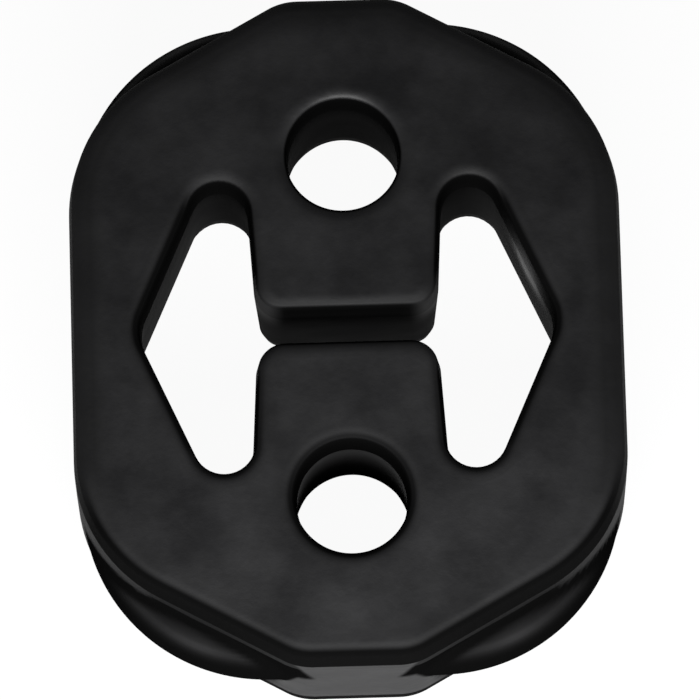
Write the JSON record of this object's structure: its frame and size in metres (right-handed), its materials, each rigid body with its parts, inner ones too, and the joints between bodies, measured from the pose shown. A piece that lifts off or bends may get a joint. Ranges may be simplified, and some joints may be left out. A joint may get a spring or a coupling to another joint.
{
  "type": "exhaust rubber mount",
  "caption": "Moulded rubber hanger block for a car exhaust, with round rod holes at both ends and an H-shaped flex opening whose tongues act as bump stops.",
  "frame": {"origin": "centre of the back face, on which the block lies", "axes": "+Z through the thickness towards the front face, +Y along the line of the rod holes towards the upper one, +X across the block"},
  "size_m": [0.0566, 0.0702, 0.0198],
  "materials": {
    "moulded_rubber": "satin"
  },
  "bodies": {
    "root": {"rubber_mount": "moulded_rubber"}
  },
  "joints": []
}
